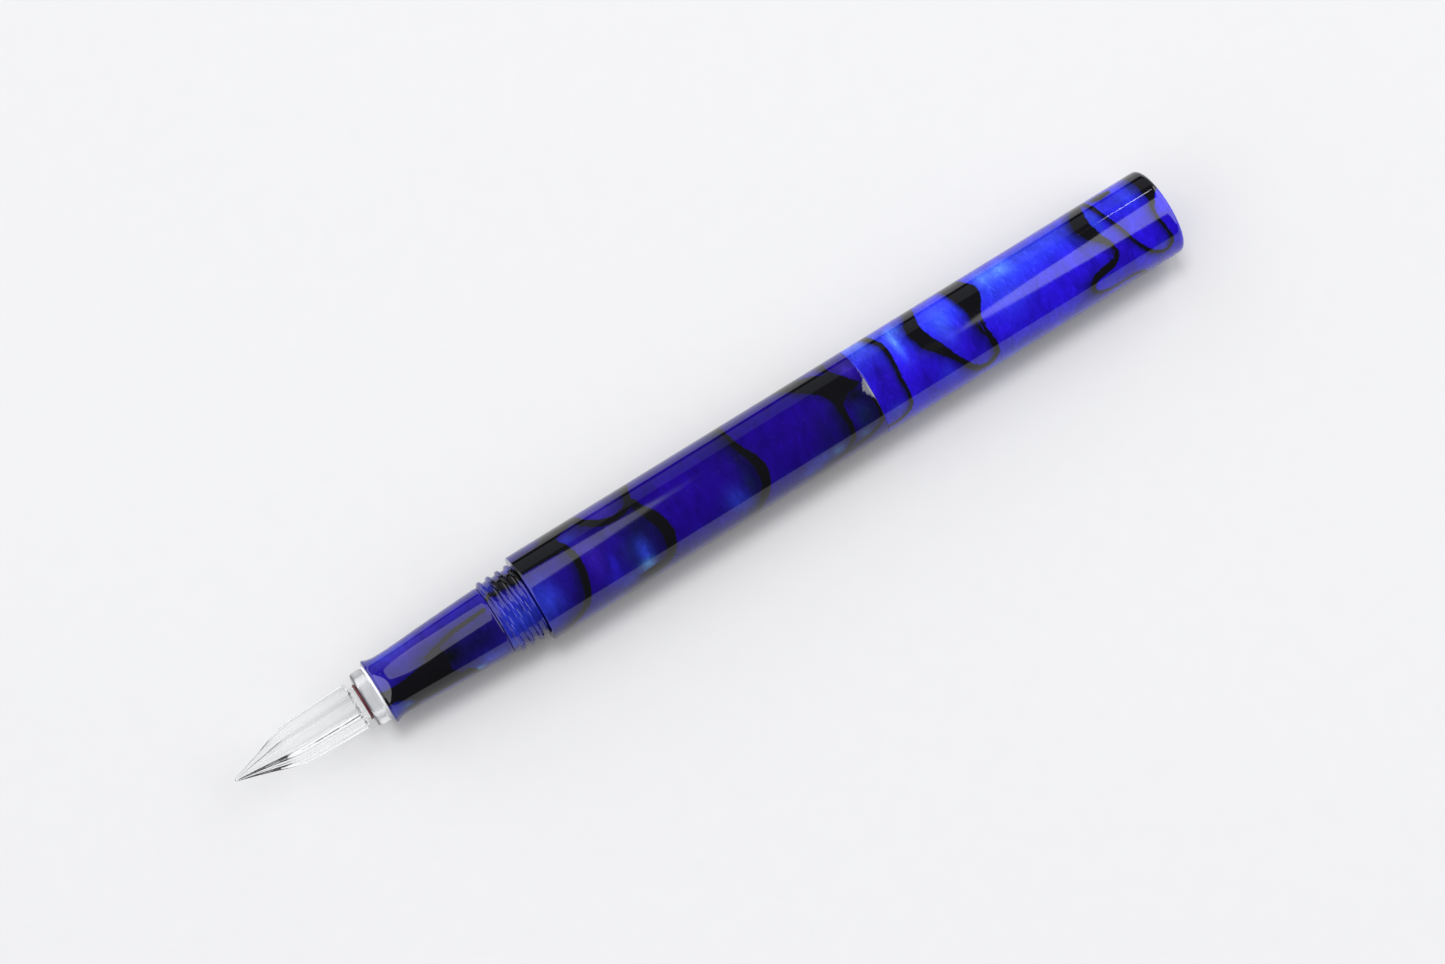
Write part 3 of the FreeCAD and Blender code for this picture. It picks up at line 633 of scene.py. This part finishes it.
def mass_edge(x, angle, outline):
    """Signed distance to a closed mass's outline, and how far it lies to the +X side (-1 to 1)."""
    best = np.full(len(x), FAR)
    side = np.zeros(len(x))
    inside_any = np.zeros(len(x), bool)
    for turn in (-360, 0, 360):
        inside = np.zeros(len(x), bool)
        here = angle + turn
        for (x0, a0), (x1, a1) in zip(outline, outline[1:] + outline[:1]):
            dx, ds = x1 - x0, (a1 - a0) * ARC
            px, ps = x - x0, (here - a0) * ARC
            t = np.clip((px * dx + ps * ds) / (dx * dx + ds * ds), 0, 1)
            ox = t * dx - px
            reach = np.hypot(ox, t * ds - ps)
            side = np.where(reach < best, ox / np.maximum(reach, 1e-6), side)
            best = np.minimum(best, reach)
            if a0 != a1:
                crosses = (a0 > here) != (a1 > here)
                inside ^= crosses & (x < x0 + (here - a0) * (x1 - x0) / (a1 - a0))
        inside_any |= inside
    return np.where(inside_any, -best, best), side


def shade_beside(gap, side, reach, sides):
    """Share of the dark shade beside a vein or mass, at each distance from it and side of it."""
    fade = np.exp(-(np.maximum(gap, 0) / reach) ** SHADE_POWER)
    return fade * np.clip(sides[0] + sides[1] * side, LEAST_SHADE, 1)


def paint_acrylic(piece, ground, veins, masses, washes, turned_by, softness, painted_glints=()):
    """Stores the casting's colour, with painted highlights at the join, and the distance to its black veins
    on the mesh, for the shader.
    """
    x, angle = pen_places(piece)
    angle = angle - turned_by - LEAN * np.exp(-((angle - LEAN_AT) / LEAN_SPREAD) ** 2)
    colour = np.repeat(ground[None, :], len(x), axis=0)
    for wx, wa, reach, spread_deg, tint, strength in washes:
        turn = (angle - wa + 180) % 360 - 180
        share = strength * np.exp(-((x - wx) / reach) ** 2 - (turn / spread_deg) ** 2)
        colour += (tint - colour) * share[:, None]
    edge = np.full(len(x), FAR)
    shade = np.zeros(len(x))
    for line in veins:
        gap, side = vein_edge(x, angle, line)
        widest = max(half for _, _, half in line)
        reach = softness * (VEIN_SHADE_REACH[0] + VEIN_SHADE_REACH[1] * widest)
        shade = np.maximum(shade, shade_beside(gap, side, reach, VEIN_SHADE_SIDES))
        edge = np.minimum(edge, gap)
    for outline in masses:
        gap, side = mass_edge(x, angle, outline)
        shade = np.maximum(shade, shade_beside(gap, side, softness * MASS_SHADE_REACH, MASS_SHADE_SIDES))
        edge = np.minimum(edge, gap)
    colour += (SHADE - colour) * (SHADE_STRENGTH * shade)[:, None]
    # Painted highlight: these patches at the join get the grey glint colour and are kept clear of the black
    # veins
    for outline in painted_glints:
        inside = mass_edge(x, angle, outline)[0] < 0
        colour[inside] = PAINTED_GLINT
        edge[inside] = 1.0
    rgba = np.concatenate([colour * TONE, np.ones((len(x), 1))], axis=1)
    stored = piece.data.color_attributes.new("stone", "FLOAT_COLOR", "POINT")
    stored.data.foreach_set("color", rgba.astype(np.float32).ravel())
    vein = piece.data.attributes.new("vein", "FLOAT", "POINT")
    vein.data.foreach_set("value", np.clip(edge, -EDGE_LIMIT, EDGE_LIMIT).astype(np.float32))


# ---------------------------------------------------------------- materials

ACRYLIC_IOR = 1.49
GLASS_IOR = 1.5
SILICONE_IOR = 1.41


def new_material(name):
    """New material with one Principled shader, returned with its node tree and that shader."""
    material = bpy.data.materials.new(name)
    material.use_nodes = True
    tree = material.node_tree
    tree.nodes.clear()
    output = tree.nodes.new("ShaderNodeOutputMaterial")
    shader = tree.nodes.new("ShaderNodeBsdfPrincipled")
    tree.links.new(shader.outputs["BSDF"], output.inputs["Surface"])
    return material, tree, shader


def noise(tree, scale, detail, roughness=0.5, distortion=0.0, stretch=(1, 1, 1)):
    """Noise in the piece's own coordinates; scale is in features per metre."""
    place = tree.nodes.new("ShaderNodeTexCoord")
    mapping = tree.nodes.new("ShaderNodeMapping")
    mapping.inputs["Scale"].default_value = stretch
    texture = tree.nodes.new("ShaderNodeTexNoise")
    texture.inputs["Scale"].default_value = scale
    texture.inputs["Detail"].default_value = detail
    texture.inputs["Roughness"].default_value = roughness
    texture.inputs["Distortion"].default_value = distortion
    tree.links.new(place.outputs["Object"], mapping.inputs["Vector"])
    tree.links.new(mapping.outputs["Vector"], texture.inputs["Vector"])
    return texture.outputs["Fac"]


def spread(tree, value, low, high, to_low, to_high):
    """Maps a value's range onto another, clamped."""
    node = tree.nodes.new("ShaderNodeMapRange")
    node.inputs["From Min"].default_value = low
    node.inputs["From Max"].default_value = high
    node.inputs["To Min"].default_value = to_low
    node.inputs["To Max"].default_value = to_high
    tree.links.new(value, node.inputs["Value"])
    return node.outputs["Result"]


def math_node(tree, operation, a, b):
    """Arithmetic on two values, either of which may be a plain number."""
    node = tree.nodes.new("ShaderNodeMath")
    node.operation = operation
    for socket, value in zip(node.inputs, (a, b)):
        if isinstance(value, (int, float)):
            socket.default_value = value
        else:
            tree.links.new(value, socket)
    return node.outputs["Value"]


def mix_colour(tree, share, a, b, blend="MIX"):
    """Mixes two colours, either of which may be a plain linear colour."""
    node = tree.nodes.new("ShaderNodeMix")
    node.data_type = "RGBA"
    node.blend_type = blend
    sockets = {"Factor": share, "A": a, "B": b}
    for name, value in sockets.items():
        socket = [s for s in node.inputs if s.name == name and s.enabled][0]
        if isinstance(value, (int, float)):
            socket.default_value = value
        elif isinstance(value, (tuple, list, np.ndarray)):
            socket.default_value = (*[float(v) for v in value], 1.0)[:4]
        else:
            tree.links.new(value, socket)
    return [s for s in node.outputs if s.enabled][0]


def bump(tree, shader, height, strength, distance_mm):
    """Raises the surface a little by a height pattern."""
    node = tree.nodes.new("ShaderNodeBump")
    node.inputs["Strength"].default_value = strength
    node.inputs["Distance"].default_value = distance_mm * MM
    tree.links.new(height, node.inputs["Height"])
    tree.links.new(node.outputs["Normal"], shader.inputs["Normal"])


def acrylic(name, gleam):
    """Polished cast acrylic: clouded pearl blues, ink-black veins and a fine polish haze."""
    material, tree, shader = new_material(name)
    stone = tree.nodes.new("ShaderNodeAttribute")
    stone.attribute_name = "stone"
    vein = tree.nodes.new("ShaderNodeAttribute")
    vein.attribute_name = "vein"
    cloud = noise(tree, 260, 5, 0.55, distortion=1.2, stretch=(1.0, 0.55, 0.55))
    wisp = noise(tree, 900, 4, 0.6, distortion=2.0, stretch=(1.4, 0.5, 0.5))
    flake = noise(tree, 6000, 2, 0.6)
    brightness = math_node(tree, "MULTIPLY", spread(tree, cloud, 0.3, 0.7, 0.72, 1.3),
                           spread(tree, wisp, 0.3, 0.7, 0.86, 1.16))
    brightness = math_node(tree, "MULTIPLY", brightness, spread(tree, flake, 0.35, 0.65, 0.95, 1.05))
    lit = mix_colour(tree, 1.0, stone.outputs["Color"], brightness, "MULTIPLY")
    sheen = mix_colour(tree, 1.0, lit, (1.9, 2.2, 1.5), "MULTIPLY")
    pearl = mix_colour(tree, spread(tree, wisp, 0.56, 0.78, 0.0, 0.6 * gleam), lit, sheen)
    ragged = math_node(tree, "ADD", vein.outputs["Fac"], spread(tree, wisp, 0.3, 0.7, -0.1, 0.1))
    core = spread(tree, ragged, -0.06, 0.1, 1.0, 0.0)
    tree.links.new(mix_colour(tree, core, pearl, tuple(INK)), shader.inputs["Base Color"])
    haze = noise(tree, 3500, 3, 0.7, stretch=(0.05, 1.0, 1.0))
    tree.links.new(spread(tree, haze, 0.35, 0.75, 0.035, 0.085), shader.inputs["Roughness"])
    bump(tree, shader, haze, 0.12, 0.004)
    shader.inputs["IOR"].default_value = ACRYLIC_IOR
    return material


def clear_glass():
    """Lamp-worked clear glass, faintly wavy."""
    material, tree, shader = new_material("clear_glass")
    shader.inputs["Base Color"].default_value = (0.985, 0.995, 0.99, 1)
    shader.inputs["Transmission Weight"].default_value = 1.0
    shader.inputs["IOR"].default_value = GLASS_IOR
    wave = noise(tree, 420, 2, 0.5, distortion=0.4)
    tree.links.new(spread(tree, wave, 0.3, 0.8, 0.0, 0.03), shader.inputs["Roughness"])
    bump(tree, shader, wave, 0.25, 0.02)
    return material


def clear_acrylic():
    """Clear turned acrylic with a trace of tool marks."""
    material, tree, shader = new_material("clear_acrylic")
    shader.inputs["Base Color"].default_value = (0.975, 0.98, 0.985, 1)
    shader.inputs["Transmission Weight"].default_value = 1.0
    shader.inputs["IOR"].default_value = ACRYLIC_IOR
    marks = noise(tree, 2600, 2, 0.6, stretch=(1.0, 0.05, 0.05))
    tree.links.new(spread(tree, marks, 0.3, 0.8, 0.12, 0.26), shader.inputs["Roughness"])
    bump(tree, shader, marks, 0.1, 0.004)
    return material


def plain(name, colour, roughness, grain, contrast, height_mm):
    """Moulded rubber or plastic with a fine grain, mottled a little in colour and gloss."""
    material, tree, shader = new_material(name)
    mottle = noise(tree, grain, 4, 0.6)
    fine = noise(tree, grain * 6, 2, 0.5)
    dark = tuple(np.array(colour) * (1 - contrast))
    light = tuple(np.minimum(np.array(colour) * (1 + contrast) + 0.004, 1))
    tree.links.new(mix_colour(tree, mottle, dark, light), shader.inputs["Base Color"])
    gloss = spread(tree, fine, 0.3, 0.7, roughness * 0.85, roughness * 1.15)
    tree.links.new(gloss, shader.inputs["Roughness"])
    bump(tree, shader, fine, 0.3, height_mm)
    return material


def silicone():
    """Translucent soft cushion behind the stem."""
    material, tree, shader = new_material("clear_silicone")
    shader.inputs["Base Color"].default_value = (0.9, 0.92, 0.93, 1)
    shader.inputs["Transmission Weight"].default_value = 0.75
    shader.inputs["IOR"].default_value = SILICONE_IOR
    cloud = noise(tree, 900, 3, 0.6)
    tree.links.new(spread(tree, cloud, 0.3, 0.7, 0.3, 0.5), shader.inputs["Roughness"])
    bump(tree, shader, cloud, 0.2, 0.01)
    return material


def dress(obj, material):
    """Gives an object one material."""
    obj.data.materials.clear()
    obj.data.materials.append(material)


def dress_node(node, material):
    """Gives a CAD node one material and smooth shading, with its shape untouched."""
    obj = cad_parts[node]
    dress(obj, material)
    obj.data.shade_smooth()
    obj.data.set_sharp_from_angle(angle=SHARP_TURN_ON_NODE)


# ---------------------------------------------------------------- the pen

barrel = barrel_shell()
cap = cap_shell()
grip = grip_shell()
nib = glass_nib()
collar = nib_collar()

# The barrel's colour also carries the painted highlights at its join with the cap
paint_acrylic(barrel, DEEP, BARREL_VEINS, BARREL_MASSES, BARREL_WASHES, turned_by=3.0, softness=1.0,
              painted_glints=BARREL_PAINTED_GLINTS)
paint_acrylic(cap, CAP_BLUE, CAP_VEINS, CAP_MASSES, CAP_WASHES, turned_by=3.0, softness=0.45)
paint_acrylic(grip, GRIP_GROUND, GRIP_VEINS, GRIP_MASSES, GRIP_WASHES, turned_by=4.0, softness=1.0)

barrel_acrylic = acrylic("blue_acrylic", gleam=0.4)
dress(barrel, barrel_acrylic)
dress(grip, barrel_acrylic)
dress(cap, acrylic("blue_acrylic_cap", gleam=1.0))
dress(nib, clear_glass())
dress(collar, clear_acrylic())
for clear_piece in (nib, collar):
    clear_piece.visible_shadow = False    # light goes through them

black_rubber = plain("black_rubber", (0.012, 0.012, 0.013), roughness=0.45, grain=900, contrast=0.35,
                     height_mm=0.01)
red_rubber = plain("dark_red_rubber", tuple(linear(72, 14, 26)), roughness=0.4, grain=900, contrast=0.3,
                   height_mm=0.008)
washer_plastic = plain("white_plastic", (0.8, 0.8, 0.83), roughness=0.5, grain=1200, contrast=0.05,
                       height_mm=0.004)
liner_plastic = plain("liner_plastic", (0.03, 0.03, 0.036), roughness=0.55, grain=500, contrast=0.25,
                      height_mm=0.01)
for ring in ("nib_stem_ring_front", "nib_stem_ring_rear", "section_ring"):
    dress_node(ring, black_rubber)
dress_node("nib_neck_ring", red_rubber)
dress_node("nib_cushion", silicone())
dress_node("nib_washer", washer_plastic)
dress_node("cap_liner", liner_plastic)


# ---------------------------------------------------------------- floor, lights and camera (in metres)

CAMERA_TARGET = (0.00255, -0.00026, 0.00644)
CAMERA_DIRECTION = (-0.1404, -0.2195, 0.9655)
CAMERA_DISTANCE = 0.579
STAGE_REACH = 4.0
DARK_EDGE_Y = 0.058
DARK_EDGE_Z = 0.0005
SOFTBOX_DISTANCE = 1.2
PANEL_DISTANCE = 0.9


def stage_sheet(name, y_low, z):
    """Flat sheet from a place on Y to the studio's far side, with its node tree and shader."""
    mesh = bpy.data.meshes.new(name)
    mesh.from_pydata([(-STAGE_REACH, y_low, z), (STAGE_REACH, y_low, z), (STAGE_REACH, STAGE_REACH, z),
                      (-STAGE_REACH, STAGE_REACH, z)], [], [(0, 1, 2, 3)])
    sheet = bpy.data.objects.new(name, mesh)
    bpy.context.scene.collection.objects.link(sheet)
    material, tree, shader = new_material(name)
    shader.inputs["Specular IOR Level"].default_value = 0.0
    dress(sheet, material)
    return sheet, tree, shader


def floor():
    """Plain pale surface that the pen lies on."""
    _, tree, shader = stage_sheet("floor", -STAGE_REACH, 0)
    paper = mix_colour(tree, noise(tree, 300, 3, 0.6), (0.43, 0.43, 0.437), (0.445, 0.445, 0.452))
    tree.links.new(paper, shader.inputs["Base Color"])
    shader.inputs["Roughness"].default_value = 0.6


def dark_edge():
    """Dark studio floor beyond the table on the far side, seen only as a dark line in the polish."""
    sheet, _, shader = stage_sheet("dark_edge", DARK_EDGE_Y, DARK_EDGE_Z)
    shader.inputs["Base Color"].default_value = (0.01, 0.01, 0.012, 1)
    shader.inputs["Roughness"].default_value = 0.9
    sheet.visible_camera = False
    sheet.visible_diffuse = False
    sheet.visible_shadow = False
    sheet.visible_transmission = False


def hang_light(light, direction, distance):
    """Hangs a light at a direction and distance from the pen, facing it and out of the camera's sight."""
    way = Vector(direction).normalized()
    lamp = bpy.data.objects.new(light.name, light)
    lamp.location = way * distance
    lamp.rotation_euler = way.to_track_quat("Z", "Y").to_euler()
    lamp.visible_camera = False
    bpy.context.scene.collection.objects.link(lamp)
    return lamp


def softbox(name, direction, spread_deg, radiance, mirrored):
    """Round soft light that fills a cone of half-angle spread_deg; a mirrored one shows in the polish."""
    radius = SOFTBOX_DISTANCE * math.tan(math.radians(spread_deg))
    light = bpy.data.lights.new(name, "AREA")
    light.shape = "DISK"
    light.size = 2 * radius
    light.energy = radiance * math.pi * math.pi * radius ** 2
    lamp = hang_light(light, direction, SOFTBOX_DISTANCE)
    lamp.visible_glossy = mirrored
    lamp.visible_transmission = False


def panel(name, direction, width, height, radiance, tint):
    """Flat rectangular light at a direction from the pen, wide along X."""
    light = bpy.data.lights.new(name, "AREA")
    light.shape = "RECTANGLE"
    light.size = width
    light.size_y = height
    light.energy = radiance * math.pi * width * height
    light.color = tint
    hang_light(light, direction, PANEL_DISTANCE)


def background(tree, colour, strength=1.0):
    """Background shader of one plain colour."""
    node = tree.nodes.new("ShaderNodeBackground")
    node.inputs["Color"].default_value = (*colour, 1)
    node.inputs["Strength"].default_value = strength
    return node.outputs["Background"]


def choose(tree, share, first, second):
    """Mixes two shaders."""
    node = tree.nodes.new("ShaderNodeMixShader")
    tree.links.new(share, node.inputs["Fac"])
    tree.links.new(first, node.inputs[1])
    tree.links.new(second, node.inputs[2])
    return node.outputs["Shader"]


def surroundings():
    """Dim studio all round, pale past the floor's end and where the glass looks out of the scene."""
    world = bpy.data.worlds.new("studio")
    bpy.context.scene.world = world
    world.use_nodes = True
    tree = world.node_tree
    tree.nodes.clear()
    output = tree.nodes.new("ShaderNodeOutputWorld")
    ray = tree.nodes.new("ShaderNodeLightPath")
    room = background(tree, (0.9, 0.93, 1.0), 0.05)
    through_glass = background(tree, (0.98, 0.98, 1.0))
    backdrop = background(tree, (0.9, 0.9, 0.91))
    studio = choose(tree, ray.outputs["Is Transmission Ray"], room, through_glass)
    studio = choose(tree, ray.outputs["Is Camera Ray"], studio, backdrop)
    tree.links.new(studio, output.inputs["Surface"])


def camera():
    """Long lens, high over the pen and to the left of it."""
    data = bpy.data.cameras.new("camera")
    data.sensor_fit = "HORIZONTAL"
    data.sensor_width = 36.0
    data.lens = 105.0
    data.clip_start = 0.01
    data.clip_end = 20.0
    data.dof.use_dof = False
    obj = bpy.data.objects.new("camera", data)
    away = Vector(CAMERA_DIRECTION).normalized()
    obj.location = Vector(CAMERA_TARGET) + away * CAMERA_DISTANCE
    obj.rotation_euler = away.to_track_quat("Z", "Y").to_euler()
    bpy.context.scene.collection.objects.link(obj)
    bpy.context.scene.camera = obj


floor()
dark_edge()
softbox("softbox_left", (-0.7, 0.31, 0.64), spread_deg=51.6, radiance=1.8, mirrored=True)
softbox("softbox_right", (0.83, -0.06, 0.56), spread_deg=42.5, radiance=2.9, mirrored=True)
softbox("key", (0.0, 0.17, 0.985), spread_deg=10.0, radiance=18.0, mirrored=False)
panel("wall_light", (0, 0.95, 0.3), width=2.4, height=0.56, radiance=0.28, tint=(0.9, 0.93, 1.0))
panel("strip_lamp", (0.3, 0.585, 0.65), width=0.019, height=0.02, radiance=18.0, tint=(1.0, 1.0, 1.0))
surroundings()
camera()
bpy.context.scene.view_settings.view_transform = "Standard"
